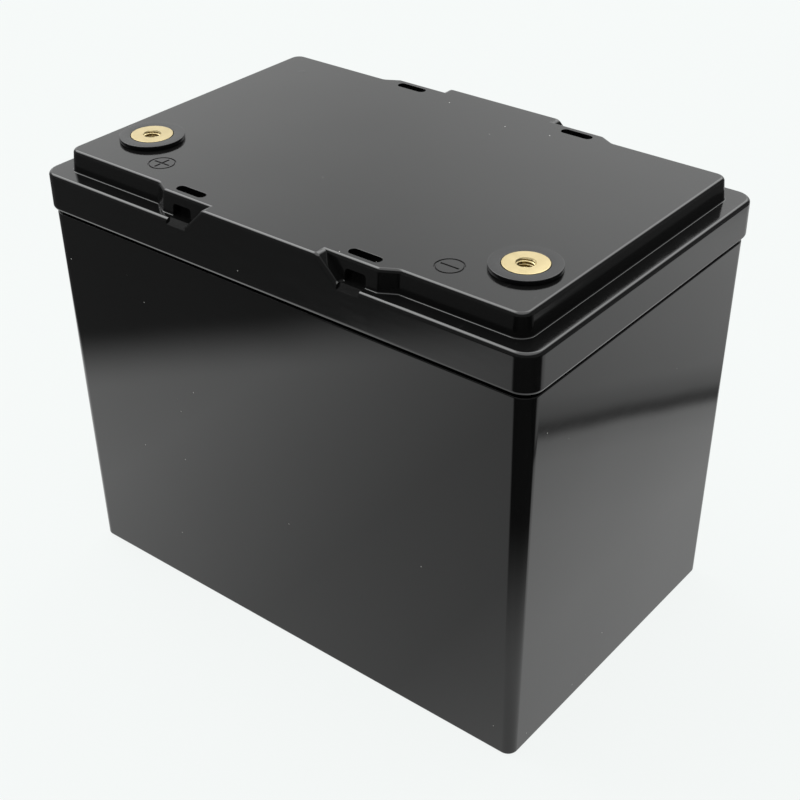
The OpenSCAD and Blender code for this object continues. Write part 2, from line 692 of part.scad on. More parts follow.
module board_screws() color([0.75, 0.75, 0.77])
    for (p = board_holes)
        translate([p[0], p[1], board_top]) small_screw(2.6, board_t + 1 + sink_t + spacer_h);

module protection_board() color([0.05, 0.3, 0.18])
    translate([0, 0, board_z]) difference() {
        board_rect(0, board_t);
        for (p = board_holes)
            translate([p[0], p[1], -1]) cylinder(h = 5, r = 1.6);
        for (l = [2:3])
            translate([low_lugs[l][0], low_lugs[l][1], -1]) cylinder(h = 5, r = 2.6);
    }

module board_transistors() color([0.08, 0.08, 0.09])
    for (i = [0:7], y = [-14, 2])
        translate([-44 + 8.5 * i, y, board_top]) {
            cube([6.2, 7.5, 2.2]);
            translate([0.5, 7.5, 0]) cube([5.2, 1.4, 0.8]);
            for (k = [0:2])
                translate([0.8 + 1.9 * k, -2, 0]) cube([0.8, 2, 0.8]);
        }

// Current-measuring links, each a low bridge of sheet metal
module board_shunts() color([0.72, 0.55, 0.42])
    for (i = [0:2])
        translate([-30 + 16 * i, 24, board_top + 4]) rotate([-90, 0, 0]) linear_extrude(6)
            difference() {
                translate([-6, 0]) square([12, 4]);
                translate([-4.2, 1]) square([8.4, 4]);
            }

// Controller chip, capacitors and resistors
module board_parts() {
    color([0.06, 0.06, 0.07]) translate([-8, -25, board_top]) cube([9, 7, 1.4]);
    for (x = [-46, 22])
        color([0.1, 0.1, 0.12]) translate([x, 18, board_top]) cylinder(h = 8, d = 8);
    for (i = [0:6])
        color([0.1, 0.1, 0.1]) translate([-40 + 4.5 * i, -21, board_top]) cube([2.2, 3.6, 0.7]);
    for (i = [0:5])
        color([0.5, 0.4, 0.3]) translate([12 + 4.5 * i, -22, board_top]) cube([2, 1.3, 0.9]);
}

module sense_socket() color([0.92, 0.9, 0.84])
    translate([-9, board_box[0][1], board_top]) difference() {
        cube([18, 6, 7]);
        translate([1, -1, 1]) cube([16, 5, 5]);
    }

module sense_plug() color([0.9, 0.88, 0.82])
    translate([-7.8, plug_y, board_top + 1.2]) cube([15.6, 9.8, 4.6]);

module sense_wires() {
    shades = ["red", "white", "gold", "royalblue", "black", "dimgray"];
    for (i = [0:len(sense_routes) - 1])
        color(shades[i]) tube(sense_routes[i], sense_d, steps = 3, sides = 8);
}

// Temperature bead taped to the top of the fifth cell
module thermistor() color([0.15, 0.12, 0.1])
    translate([cell_x(4), -22, can_top + 1.2]) {
        sphere(d = 2.4);
        translate([0, 0, -1.2]) cylinder(h = 0.4, d = 9);
    }

// ---------- leads ----------

module lower_lugs() color([0.75, 0.75, 0.74])
    for (l = low_lugs)
        translate([l[0], l[1], l[2]]) rotate(l[3]) lug(2.8, lug_r);

module lower_lug_screws() color([0.75, 0.75, 0.77])
    for (l = low_lugs)
        translate([l[0], l[1], l[2] + lug_palm_t]) screw(5, 8, 3, lug_palm_t + board_t - 0.2);

// Heat-shrink sleeve over a lug's barrel and the start of its lead
module sleeve() {
    rotate([0, 90, 0]) difference() {
        cylinder(h = sleeve_len, d = lug_barrel_d + 2 * sleeve_t);
        translate([0, 0, -1]) cylinder(h = sleeve_len + 2, d = lug_barrel_d + 0.02);
    }
}

module lug_sleeves() color([0.1, 0.1, 0.1])
    for (l = low_lugs)
        translate([l[0], l[1], l[2] + lug_barrel_d / 2]) rotate(l[3])
            translate([lug_neck + 2, 0, 0]) intersection() {
                sleeve();
                translate([0, -10, -lug_barrel_d / 2]) cube([sleeve_len, 20, 20]);
            }

module lead_pos() color([0.75, 0.08, 0.06]) tube(lead_pos_route, lead_d);
module lead_board() color([0.07, 0.07, 0.07]) tube(lead_board_route, lead_d);
module lead_neg() color([0.07, 0.07, 0.07]) tube(lead_neg_route, lead_d);

case();
floor_pad();
side_pads();
end_pads();
cell_1();
cell_2();
cell_3();
cell_4();
cell_5();
cell_6();
cell_7();
cell_8();
cell_sheets();
cell_posts();
post_seals();
cell_vents();
end_plate_left();
end_plate_right();
strap_lower();
strap_upper();
strap_seals();
busbar_pos();
busbar_back_left();
busbar_front();
busbar_back_right();
busbar_neg();
busbar_screws();
busbar_washers();
sense_tags();
board_tray();
tray_screws();
board_spacers();
board_heatsink();
board_screws();
protection_board();
board_transistors();
board_shunts();
board_parts();
sense_socket();
sense_plug();
sense_wires();
thermistor();
lower_lugs();
lower_lug_screws();
lug_sleeves();
lead_pos();
lead_board();
lead_neg();
lid();
lid_gasket();
collar_pos();
collar_neg();
terminal_pos();
terminal_neg();
terminal_o_rings();
clamp_washers();
clamp_nuts();
upper_lugs();
lug_nuts();
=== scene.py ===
"""Looks of a boxed battery pack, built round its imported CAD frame."""
import math

import bmesh
import bpy
from mathutils import Matrix, Vector
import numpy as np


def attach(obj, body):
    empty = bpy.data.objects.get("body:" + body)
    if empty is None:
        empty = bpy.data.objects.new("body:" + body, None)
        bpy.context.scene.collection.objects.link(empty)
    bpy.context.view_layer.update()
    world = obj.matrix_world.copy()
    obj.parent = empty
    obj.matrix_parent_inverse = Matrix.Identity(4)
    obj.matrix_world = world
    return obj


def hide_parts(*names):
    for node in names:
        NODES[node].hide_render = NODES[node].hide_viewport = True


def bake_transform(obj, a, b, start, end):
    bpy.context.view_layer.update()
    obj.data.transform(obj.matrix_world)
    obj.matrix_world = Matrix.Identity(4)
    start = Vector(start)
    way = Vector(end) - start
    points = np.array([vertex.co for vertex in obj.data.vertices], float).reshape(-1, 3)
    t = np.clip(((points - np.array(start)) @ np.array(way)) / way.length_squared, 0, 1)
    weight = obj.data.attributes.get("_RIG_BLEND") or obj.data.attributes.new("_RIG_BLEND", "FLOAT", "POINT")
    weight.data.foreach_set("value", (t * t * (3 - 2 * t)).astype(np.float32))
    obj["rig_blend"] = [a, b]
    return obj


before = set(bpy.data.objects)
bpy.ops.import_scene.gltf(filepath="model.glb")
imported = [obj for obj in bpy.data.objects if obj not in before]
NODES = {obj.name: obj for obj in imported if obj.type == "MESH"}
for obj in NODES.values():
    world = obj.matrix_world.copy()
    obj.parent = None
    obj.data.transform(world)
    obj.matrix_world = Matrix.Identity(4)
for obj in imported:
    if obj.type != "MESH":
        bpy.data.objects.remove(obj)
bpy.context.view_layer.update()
PACK, LID = "pack", "lid"
MM = 0.001
MIN_CORNER_R = 0.05


# ---------- sizes of the CAD model, in millimetres ----------

TOP_Z, RAISE, SKIRT_H, SEAM = 210.4, 9.7, 17, 2.2
LID_LEN, LID_WID, LID_R, LID_WALL, SKIRT_WALL = 260, 168, 8.6, 3, 3.2
OVERHANG, DRAFT, FLOOR_T = 1.5, 2.3, 3.5
LEDGE_Z = TOP_Z - RAISE
SKIRT_Z = LEDGE_Z - SKIRT_H
SHOULDER_Z = SKIRT_Z - SEAM
RIM_Z = LEDGE_Z - 4.7
TOP_UNDER = TOP_Z - LID_WALL
EDGE_R, FOOT_R, FILLET, TOP_DRAFT = 1.8, 1.2, 0.55, 0.8
SHOULDER_R, RIM_GAP, RIM_WALL, BAY_R = 0.6, 0.5, 2.9, 3
# inset and height above the skirt's lower edge
SKIRT_LIP = ((0.8, 0), (0.45, 0.08), (0.33, 0.25), (0.06, 0.9), (0.02, 1.1), (0, 1.5))
TOP_HX, TOP_HY, TOP_HS = LID_LEN / 2 - 8.8, LID_WID / 2 - 8.3, LID_WID / 2 - 4.4
JOG = (57.2, 64.2)
FLUSH_HALF, FLUSH_FOOT = 30.5, 40.5
SLOT_X, SLOT_Y, SLOT_LEN, SLOT_WID, SLOT_LIP = 46.3, LID_WID / 2 - 10.8, 15.6, 4.5, 0.25
BOSS_MARGIN, BOSS_DROP, BOSS_SHIFT = 5, 2.5, 3.2
WINDOW_HALF, WINDOW_H = 5.1, 5.2
RELIEF_LEN, RELIEF_SIDE, RELIEF_OFFSET = 10.8, 3.4, 0.4
MARK_X, MARK_Y, MARK_R, MARK_LINE, MARK_ARM, MARK_DEPTH = 76.6, -60.7, 5.65, 0.9, 8.6, 0.42
GATE_X, GATE_Y, GATE_R = -101.7, 57.1, 1.7
TERM_X, TERM_Y, TERM_Z = 99.6, -44.4, 212.5
FACE_R, FLANGE_T, SHANK_R, SHANK_END, O_RING_GAP = 9.3, 2.4, 6, 191.4, 1.5
COLLAR_R, SPIGOT_R = 14.4, 12
CORE_R, MAJOR_R, THREAD_PITCH, THREAD_DEPTH = 3.35, 4.0, 1.25, 12
THREAD_RINGS, TIP_R = 150, 0.4
BOARD_TOP = 158.6
TRANSISTOR_ROWS, TRANSISTOR_BODY = (-14, 2), 7.5
CAPACITOR_Y, CAPACITOR_H, RESISTOR_X, RESISTOR_H = 10, 8, 8, 1.2
TOUCH = 0.05
LEAD_R, WIRE_R = 4, 0.8
LEAD_STEPS, LEAD_SIDES = 8, 24
# part of a lead's length, at each end, that stays with the piece it's fixed to
STIFF_SHARE = 0.06

LEAD_POS = ((-82.5, -33, 144), (-82.5, -18, 145), (-81, 2, 150), (-77, 24, 158), (-79, 46, 164),
            (-92, 58, 170), (-107, 48, 177), (-109, 26, 185), (-104.5, 5, 193.9), (-99.6, -9, 194.9),
            (-99.6, -17.4, 194.9), (-99.6, -26.4, 194.9))
LEAD_BOARD = ((82.5, -33, 144), (82.5, -20, 145), (82, -9, 149), (78, 1, 157), (69, 5.5, 163.1),
              (54, 6, 163.6))
LEAD_NEG = ((54, 22, 163.6), (72, 22, 163.6), (92, 27, 166), (104, 46, 169), (94, 62, 173),
            (77, 54, 177), (78, 34, 181), (96, 24, 186), (101.5, 7, 193.4), (99.6, -8, 194.9),
            (99.6, -17.4, 194.9), (99.6, -26.4, 194.9))
SENSE_WIRES = (
    ((-6, -38, 162.1), (-8, -46, 161.1), (-30, -53, 154), (-53, -54, 146), (-61.6, -52, 140.4)),
    ((-3.6, -38, 162.1), (-4, -46, 160.1), (-6, -49, 154), (-9, -42, 150), (-18, -10, 150),
     (-24, 24, 150), (-31, 40, 149), (-37.2, 45, 140.4)),
    ((-1.2, -38, 162.1), (-1, -46, 160.1), (-3.5, -53, 151), (-6.6, -52.6, 140.4)),
    ((1.2, -38, 162.1), (1.5, -46, 160.1), (3, -49, 154), (5, -42, 150), (7, -10, 150), (9, 24, 150),
     (10.6, 38, 149), (11.6, 44, 140.4)),
    ((3.6, -38, 162.1), (8, -46, 161.1), (30, -53, 154), (53, -54, 146), (61.6, -52, 140.4)),
    ((6, -38, 162.1), (7, -45, 158.1), (9, -47, 153), (12, -42, 147), (13.5, -35, 140),
     (13.75, -28, 135.8), (13.75, -23, 135.2)))


# ---------- camera ----------

VIEW_AZIMUTH = 38.81
VIEW_ELEVATION = 33.0
VIEW_ROLL = -0.535
VIEW_LENS = 65.87
VIEW_SHIFT = 0.0009
VIEW_DISTANCE = 0.6806
VIEW_TARGET = Vector((0.0064, -0.0040, 0.0940))


def make_camera():
    a, e = math.radians(VIEW_AZIMUTH), math.radians(VIEW_ELEVATION)
    back = Vector((math.sin(a) * math.cos(e), -math.cos(a) * math.cos(e), math.sin(e)))
    data = bpy.data.cameras.new("camera")
    data.lens = VIEW_LENS
    data.sensor_width = 36
    data.shift_x = VIEW_SHIFT
    data.clip_start, data.clip_end = 0.05, 50
    camera = bpy.data.objects.new("camera", data)
    bpy.context.scene.collection.objects.link(camera)
    camera.location = VIEW_TARGET + back * VIEW_DISTANCE
    roll = Matrix.Rotation(math.radians(VIEW_ROLL), 4, "Z").to_quaternion()
    camera.rotation_mode = "QUATERNION"
    camera.rotation_quaternion = (-back).to_track_quat("-Z", "Y") @ roll
    bpy.context.scene.camera = camera


# ---------- meshes ----------

def new_object(name, bm):
    mesh = bpy.data.meshes.new(name)
    bm.to_mesh(mesh)
    bm.free()
    obj = bpy.data.objects.new(name, mesh)
    bpy.context.scene.collection.objects.link(obj)
    return obj


def rounded_outline(corners, inset=0, steps=8):
    """Points round a closed outline of corners (x, y, radius), moved inwards by inset. A corner
    with a radius keeps at least a small one, so that the outline never crosses itself."""
    points = []
    n = len(corners)
    for i in range(n):
        a, b, c = (Vector(corners[k % n][:2]) for k in (i - 1, i, i + 1))
        u, v = (b - a).normalized(), (c - b).normalized()
        m, k = Vector((-u.y, u.x)), Vector((-v.y, v.x))
        p = b + (m + k) * (inset / (1 + m.dot(k)))
        if corners[i][2] == 0:
            points.append(p)
            continue
        turn = math.atan2(u.x * v.y - u.y * v.x, u.dot(v))
        side = 1 if turn > 0 else -1
        r = max(corners[i][2] - side * inset, MIN_CORNER_R)
        start = p - u * (r * math.tan(abs(turn) / 2))
        centre = start + m * (side * r)
        arm = start - centre
        for s in range(steps + 1):
            t = turn * s / steps
            points.append(centre + Vector((arm.x * math.cos(t) - arm.y * math.sin(t),
                                           arm.x * math.sin(t) + arm.y * math.cos(t))))
    return points


def rectangle(length, width, r):
    x, y = length / 2, width / 2
    return ((x, -y, r), (x, y, r), (-x, y, r), (-x, -y, r))


def capsule(length, width):
    return rectangle(length, width, width / 2 - 0.001)


def level_loops(corners, levels, steps=8):
    return [[Vector((p.x, p.y, z)) for p in rounded_outline(corners, inset, steps)]
            for inset, z in levels]


def skin(name, loops, closed=False):
    """Closed surface through loops of equally many points, capped unless the last joins the first."""
    bm = bmesh.new()
    rings = [[bm.verts.new(p) for p in loop] for loop in loops]
    n = len(rings[0])
    pairs = list(zip(rings, rings[1:])) + ([(rings[-1], rings[0])] if closed else [])
    for a, b in pairs:
        for i in range(n):
            j = (i + 1) % n
            bm.faces.new((a[i], a[j], b[j], b[i]))
    if not closed:
        bm.faces.new(rings[0][::-1])
        bm.faces.new(rings[-1])
    bmesh.ops.recalc_face_normals(bm, faces=bm.faces)
    return new_object(name, bm)


def quarter_turns(steps):
    return [math.pi / 2 * k / steps for k in range(steps + 1)]


def quarter(r, steps):
    """Sideways and upward parts of a quarter round of radius r."""
    return [(r * (1 - math.cos(t)), r * math.sin(t)) for t in quarter_turns(steps)]


def full_turns(steps):
    return [2 * math.pi * k / steps for k in range(steps)]


def lathe(name, profile, steps=96, closed=False):
    loops = [[Vector((r * math.cos(t), r * math.sin(t), z)) for t in full_turns(steps)]
             for r, z in profile]
    return skin(name, loops, closed)


def placed(obj, x=0, y=0, z=0, turn=None):
    if turn is not None:
        obj.data.transform(turn)
    obj.data.transform(Matrix.Translation((x, y, z)))
    return obj


def combined(base, *steps):
    """Boolean steps (operation, piece), one after another."""
    for i, (operation, piece) in enumerate(steps):
        m = base.modifiers.new("step%d" % i, "BOOLEAN")
        m.solver = "EXACT"
        m.operation = operation
        m.object = piece
    bpy.context.view_layer.update()
    mesh = bpy.data.meshes.new_from_object(base.evaluated_get(bpy.context.evaluated_depsgraph_get()))
    base.modifiers.clear()
    base.data = mesh
    for piece in {p.name: p for _, p in steps}.values():
        bpy.data.objects.remove(piece)
    return base


def soften(obj, angle):
    """Smooth shading but for edges sharper than angle degrees."""
    mesh = obj.data
    mesh.polygons.foreach_set("use_smooth", [True] * len(mesh.polygons))
    mesh.set_sharp_from_angle(angle=math.radians(angle))
    m = obj.modifiers.new("normals", "WEIGHTED_NORMAL")
    m.keep_sharp = True


def settle(obj, body, material, slot, *nodes, angle=35, ride=True):
    """Brings a piece from millimetres to metres, and gives it its place, looks and body."""
    obj.data.transform(Matrix.Scale(MM, 4))
    soften(obj, angle)
    obj.data.materials.clear()
    for m in material if isinstance(material, (list, tuple)) else [material]:
        obj.data.materials.append(m)
    if nodes:
        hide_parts(*nodes)
    if ride:
        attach(obj, body)
    return obj


# ---------- material nodes ----------

class Shader:
    """A material's node tree, with a few short ways to add to it."""

    def __init__(self, name, **sockets):
        self.material = bpy.data.materials.new(name)
        self.material.use_nodes = True
        self.tree = self.material.node_tree
        self.bsdf = self.tree.nodes["Principled BSDF"]
        for socket, value in sockets.items():
            self.bsdf.inputs[socket.replace("_", " ")].default_value = value

    def node(self, kind, **settings):
        n = self.tree.nodes.new(kind)
        for key, value in settings.items():
            setattr(n, key, value)
        return n

    def put(self, target, value):
        if isinstance(value, bpy.types.NodeSocket):
            self.tree.links.new(value, target)
        elif value is not None:
            target.default_value = value

    def place(self, scale=(1, 1, 1), turn=(0, 0, 0)):
        """Object coordinates in metres, scaled and turned."""
        c = self.node("ShaderNodeTexCoord")
        m = self.node("ShaderNodeMapping")
        self.put(m.inputs["Vector"], c.outputs["Object"])
        m.inputs["Scale"].default_value = scale
        m.inputs["Rotation"].default_value = turn
        return m.outputs["Vector"]

    def axis(self, name, vector=None):
        n = self.node("ShaderNodeSeparateXYZ")
        self.put(n.inputs[0], vector or self.place())
        return n.outputs[name]

    def noise(self, scale, detail=2, rough=0.5, vector=None, distortion=0):
        n = self.node("ShaderNodeTexNoise")
        self.put(n.inputs["Vector"], vector or self.place())
        n.inputs["Scale"].default_value = scale
        n.inputs["Detail"].default_value = detail
        n.inputs["Roughness"].default_value = rough
        n.inputs["Distortion"].default_value = distortion
        return n.outputs["Fac"]

    def cells(self, scale, random=1.0, distance="EUCLIDEAN"):
        n = self.node("ShaderNodeTexVoronoi", distance=distance)
        self.put(n.inputs["Vector"], self.place())
        n.inputs["Scale"].default_value = scale
        n.inputs["Randomness"].default_value = random
        return n

    def wave(self, scale, axis="X", distortion=0, detail=0, kind="BANDS"):
        n = self.node("ShaderNodeTexWave", wave_type=kind)
        if kind == "BANDS":
            n.bands_direction = axis
        else:
            n.rings_direction = axis
        self.put(n.inputs["Vector"], self.place())
        n.inputs["Scale"].default_value = scale
        n.inputs["Distortion"].default_value = distortion
        n.inputs["Detail"].default_value = detail
        return n.outputs["Fac"]

    def ramp(self, fac, stops):
        n = self.node("ShaderNodeValToRGB")
        r = n.color_ramp
        r.interpolation = "LINEAR"
        while len(r.elements) < len(stops):
            r.elements.new(0.5)
        for element, (at, shade) in zip(r.elements, stops):
            element.position = at
            element.color = grey(shade)
        self.put(n.inputs["Fac"], fac)
        return n.outputs["Color"]

    def span(self, fac, low, high, at=(0, 1), smooth=False):
        n = self.node("ShaderNodeMapRange", interpolation_type="SMOOTHSTEP" if smooth else "LINEAR")
        self.put(n.inputs["Value"], fac)
        n.inputs["From Min"].default_value, n.inputs["From Max"].default_value = at
        n.inputs["To Min"].default_value, n.inputs["To Max"].default_value = low, high
        return n.outputs["Result"]

    def math(self, operation, a, b=None):
        n = self.node("ShaderNodeMath", operation=operation)
        self.put(n.inputs[0], a)
        self.put(n.inputs[1], b)
        return n.outputs["Value"]

    def mix(self, fac, a, b):
        n = self.node("ShaderNodeMix", data_type="RGBA")
        self.put(n.inputs["Factor"], fac)
        self.put(n.inputs["A"], a)
        self.put(n.inputs["B"], b)
        return n.outputs["Result"]

    def bump(self, height, distance, strength=1.0, under=None):
        n = self.node("ShaderNodeBump")
        n.inputs["Strength"].default_value = strength
        n.inputs["Distance"].default_value = distance
        self.put(n.inputs["Height"], height)
        if under is not None:
            self.put(n.inputs["Normal"], under)
        return n.outputs["Normal"]

    def times(self, *factors):
        total = factors[0]
        for factor in factors[1:]:
            total = self.math("MULTIPLY", total, factor)
        return total

    def finish(self, color=None, roughness=None, normal=None):
        self.put(self.bsdf.inputs["Base Color"], color)
        self.put(self.bsdf.inputs["Roughness"], roughness)
        self.put(self.bsdf.inputs["Normal"], normal)
        return self.material


def rgb(r, g, b):
    return (r, g, b, 1)


def grey(v):
    return (v, v, v, 1)


def scaled(tint, factor):
    return rgb(*[min(c * factor, 1) for c in tint])


# ---------- floor and studio light ----------

PAPER = (0.905, 0.930, 0.921)
PAPER_GLOW = 0.955
COOL_WHITE = (0.99, 1.0, 0.995)
FLOOR_HALF, FLOOR_Z = 6, -0.0003
# size and height of the glowing card that paints the floor's reflection
REFLECTION_CARD_HALF, REFLECTION_CARD_Z = 4, -0.0001
DIM_ROOM = 0.16
# lobes of light: direction, the cosines at which each begins and is full, and its strength
BACK_WALL = ((-0.55, 0.72, 0.42), 0.62, 0.86, 0.78)
WALL_LEFT = ((-0.9, 0.33, 0.3), 0.86, 1.0, 0.35)
WALL_RIGHT = ((-0.2, 0.87, 0.45), 0.9, 1.0, 0.35)
OVERHEAD = ((-0.1, 0.1, 1), 0.68, 0.86, 2.2)
OVERHEAD_LEFT = ((-0.68, 0.0, 0.74), 0.88, 0.985, 3.6)
OVERHEAD_BACK = ((-0.08, 0.77, 0.63), 0.93, 0.99, 1.9)
LOBES = (BACK_WALL, WALL_LEFT, WALL_RIGHT, OVERHEAD, OVERHEAD_LEFT, OVERHEAD_BACK)


def staged_sheet(name, material, half, z):
    """Flat square of the studio, half metres from its middle to each edge."""
    bm = bmesh.new()
    bmesh.ops.create_grid(bm, x_segments=1, y_segments=1, size=half)
    sheet = new_object(name, bm)
    sheet.data.materials.append(material)
    sheet.location.z = z
    return sheet


def make_floor():
    """Pale paper, bright enough that the pack hardly shades it."""
    s = Shader("floor_paper", Roughness=0.9)
    s.bsdf.inputs["Specular IOR Level"].default_value = 0.0
    s.bsdf.inputs["Emission Color"].default_value = rgb(*PAPER)
    s.bsdf.inputs["Emission Strength"].default_value = PAPER_GLOW
    s.finish(color=s.mix(s.noise(3, 2), rgb(0.034, 0.036, 0.036), rgb(0.038, 0.041, 0.04)))
    staged_sheet("floor", s.material, FLOOR_HALF, FLOOR_Z)


def make_painted_floor_reflection():
    """Painted reflection of the table for the polished walls: a card that glows though it is no lamp, seen only
    in reflections. It is painted brighter near the pack and dark beyond the paper's left edge, with painted
    shade off the pack's near corner and one thin fold line on the right."""
    s = Shader("painted_floor_reflection", Roughness=1.0)
    x, y = s.axis("X"), s.axis("Y")

    def along(a, b, c):
        return s.math("SUBTRACT", s.math("ADD", s.times(x, a), s.times(y, b)), c)

    # painted reflection: how bright the reflected table is along X, brightest near the pack
    near = s.ramp(s.span(x, 0, 1, at=(-0.25, 0.25)),
                  ((0, 0.58), (0.18, 0.58), (0.32, 0.45), (0.46, 0.34), (0.62, 0.31), (0.70, 0.38),
                   (0.82, 0.47), (1, 0.47)))
    left_dark = s.span(along(-0.73, -0.683, 0.314), 1, 0.09, at=(-0.035, 0.038), smooth=True)
    fold = s.ramp(s.span(along(0.849, 0.528, 0.2834), 0, 1, at=(-0.08, 0.28)),
                  ((0, 1.0), (0.139, 0.92), (0.194, 0.78), (0.215, 0.2), (0.229, 0.2), (0.25, 0.46),
                   (0.306, 0.66), (0.444, 0.76), (0.556, 0.82), (0.694, 0.93), (0.84, 0.9), (0.93, 0.1)))
    # painted shade: the reflection darkened in a wedge off the pack's near corner
    px, py = s.math("SUBTRACT", x, 0.118), s.math("SUBTRACT", y, -0.072)
    reach = s.math("SQRT", s.math("ADD", s.times(px, px), s.times(py, py)))
    facing = s.math("DIVIDE", s.math("ADD", s.times(px, 0.73), s.times(py, -0.68)),
                    s.math("ADD", reach, 0.001))
    painted_corner_shade = s.times(s.span(facing, 0, 1, at=(0.2, 0.42), smooth=True),
                    s.span(reach, 0, 1, at=(0.05, 0.17), smooth=True))
    light = s.times(near, 2.0, left_dark, fold, s.span(painted_corner_shade, 1, 0.03))
    s.bsdf.inputs["Base Color"].default_value = grey(0)
    s.bsdf.inputs["Specular IOR Level"].default_value = 0.0
    s.bsdf.inputs["Emission Color"].default_value = rgb(*COOL_WHITE)
    s.put(s.bsdf.inputs["Emission Strength"], light)
    # glowing card hidden from camera, diffuse light and shadows, so only reflections show it: a painted
    # reflection
    card = staged_sheet("painted_floor_reflection", s.material, REFLECTION_CARD_HALF, REFLECTION_CARD_Z)
    card.visible_camera = card.visible_diffuse = False
    card.visible_shadow = card.visible_transmission = False


def make_sky():
    """A dim room with a softbox overhead, brighter on its left, and a lit wall behind the left."""
    world = bpy.data.worlds.new("studio")
    world.use_nodes = True
    bpy.context.scene.world = world
    t = world.node_tree
    coord = t.nodes.new("ShaderNodeTexCoord")

    def lobe(direction, start, end, amount):
        dot = t.nodes.new("ShaderNodeVectorMath")
        dot.operation = "DOT_PRODUCT"
        dot.inputs[1].default_value = Vector(direction).normalized()
        t.links.new(coord.outputs["Generated"], dot.inputs[0])
        soft = t.nodes.new("ShaderNodeMapRange")
        soft.interpolation_type = "SMOOTHSTEP"
        for socket, value in (("From Min", start), ("From Max", end), ("To Min", 0), ("To Max", amount)):
            soft.inputs[socket].default_value = value
        t.links.new(dot.outputs["Value"], soft.inputs["Value"])
        return soft.outputs["Result"]

    total = None
    for light in LOBES:
        add = t.nodes.new("ShaderNodeMath")
        if total is None:
            add.inputs[1].default_value = DIM_ROOM
        else:
            t.links.new(total, add.inputs[1])
        t.links.new(lobe(*light), add.inputs[0])
        total = add.outputs["Value"]
    t.nodes["Background"].inputs["Color"].default_value = rgb(*COOL_WHITE)
    t.links.new(total, t.nodes["Background"].inputs["Strength"])


# ---------- materials of the box ----------

def black_abs(name, shade, gloss):
    """Polished moulded plastic: faint waves from the mould, fine scuffs and a little dust."""
    s = Shader(name, Roughness=gloss)
    s.bsdf.inputs["IOR"].default_value = 1.5
    waves = s.noise(14, 1, 0.4)
    grain = s.noise(2600, 2, 0.6)
    scuffs = s.noise(60, 4, 0.7, vector=s.place(scale=(1, 1, 6), turn=(0.3, 0.5, 0.2)))
    scratch = s.noise(140, 2, 0.6, vector=s.place(scale=(12, 1, 12), turn=(0.5, 0.9, 0.4)))
    hairline = s.math("GREATER_THAN", scratch, 0.72)
    speck = s.cells(150)
    dust = s.times(s.math("LESS_THAN", speck.outputs["Distance"], 0.045),
                   s.math("GREATER_THAN", s.noise(23, 1, vector=speck.outputs["Position"]), 0.62))
    color = s.mix(waves, grey(shade * 0.85), grey(shade * 1.15))
    color = s.mix(s.times(scuffs, hairline, 0.5), color, grey(0.05))
    color = s.mix(dust, color, rgb(0.42, 0.41, 0.39))
    rough = s.math("ADD", s.span(scuffs, gloss * 0.8, gloss * 1.5, at=(0.35, 0.75)), s.times(dust, 0.5))
    normal = s.bump(grain, 0.000004, under=s.bump(waves, 0.0009, 0.22))
    return s.finish(color=color, roughness=rough, normal=normal)


def satin_black(name):
    """Finely textured moulding, duller than the box."""
    s = Shader(name, Roughness=0.3)
    grain = s.noise(3500, 2, 0.6)
    return s.finish(color=s.mix(grain, rgb(0.004, 0.004, 0.0045), rgb(0.008, 0.008, 0.0085)),
                    roughness=s.span(s.noise(120, 3), 0.16, 0.26), normal=s.bump(grain, 0.000006))


def turned_brass(name):
    """Faced on a lathe: fine rings round the middle, a little uneven colour."""
    s = Shader(name, Metallic=1.0, Roughness=0.3)
    rings = s.wave(420, kind="RINGS", axis="Z", distortion=0.6, detail=2)
    blots = s.noise(220, 4, 0.6)
    color = s.mix(blots, rgb(0.53, 0.43, 0.22), rgb(0.60, 0.50, 0.285))
    return s.finish(color=color, roughness=s.span(blots, 0.24, 0.38),
                    normal=s.bump(s.noise(2400, 2), 0.000006, under=s.bump(rings, 0.000012)))


def brass_stock(name):
    """Turned brass of the hidden hardware, yellower than the terminals."""
    s = Shader(name, Metallic=1.0, Roughness=0.35)
    blots = s.noise(160, 3, 0.6)
    return s.finish(color=s.mix(blots, rgb(0.72, 0.54, 0.26), rgb(0.84, 0.66, 0.36)),
                    roughness=s.span(blots, 0.24, 0.42), normal=s.bump(s.noise(1500, 2), 0.00001))


def rubber(name):
    """Matt black seal."""
    s = Shader(name, Roughness=0.75)
    grain = s.noise(900, 3, 0.6)
    return s.finish(color=s.mix(grain, grey(0.014), grey(0.028)),
                    roughness=s.span(grain, 0.65, 0.85), normal=s.bump(grain, 0.00003))


# ---------- materials of the inside ----------

def plated_steel(name, tint=(0.62, 0.62, 0.64), rough=0.28):
    """Zinc or tin plating with its fine crystals and handling marks."""
    s = Shader(name, Metallic=1.0, Roughness=rough)
    crystals = s.cells(900).outputs["Color"]
    blots = s.noise(260, 4, 0.65)
    color = s.mix(blots, scaled(tint, 0.82), scaled(tint, 1.12))
    return s.finish(color=s.mix(0.12, color, crystals),
                    roughness=s.span(blots, rough * 0.8, rough * 1.6),
                    normal=s.bump(s.noise(1800, 2), 0.000008))


def foam(name):
    """Closed-cell foam: small round pores on a dull skin, each pore painted darker towards its middle as shade.
    """
    s = Shader(name, Roughness=0.95)
    pores = s.cells(620).outputs["Distance"]
    # painted shade: each pore darker towards its middle, where its bump dips
    color = s.ramp(pores, ((0.0, 0.018), (0.5, 0.05), (1.0, 0.075)))
    skin_waves = s.bump(s.noise(90, 3), 0.0004)
    return s.finish(color=color, normal=s.bump(pores, 0.00022, under=skin_waves))


def cell_film(name):
    """Blue insulating film shrunk over an aluminium can, with soft creases."""
    s = Shader(name, Roughness=0.25, Coat_Weight=0.5)
    creases = s.noise(30, 5, 0.55, vector=s.place(scale=(1, 1, 3)), distortion=1.4)
    tone = s.noise(9, 3)
    return s.finish(color=s.mix(tone, rgb(0.035, 0.12, 0.34), rgb(0.055, 0.18, 0.46)),
                    roughness=s.span(creases, 0.18, 0.4), normal=s.bump(creases, 0.0006, 0.6))


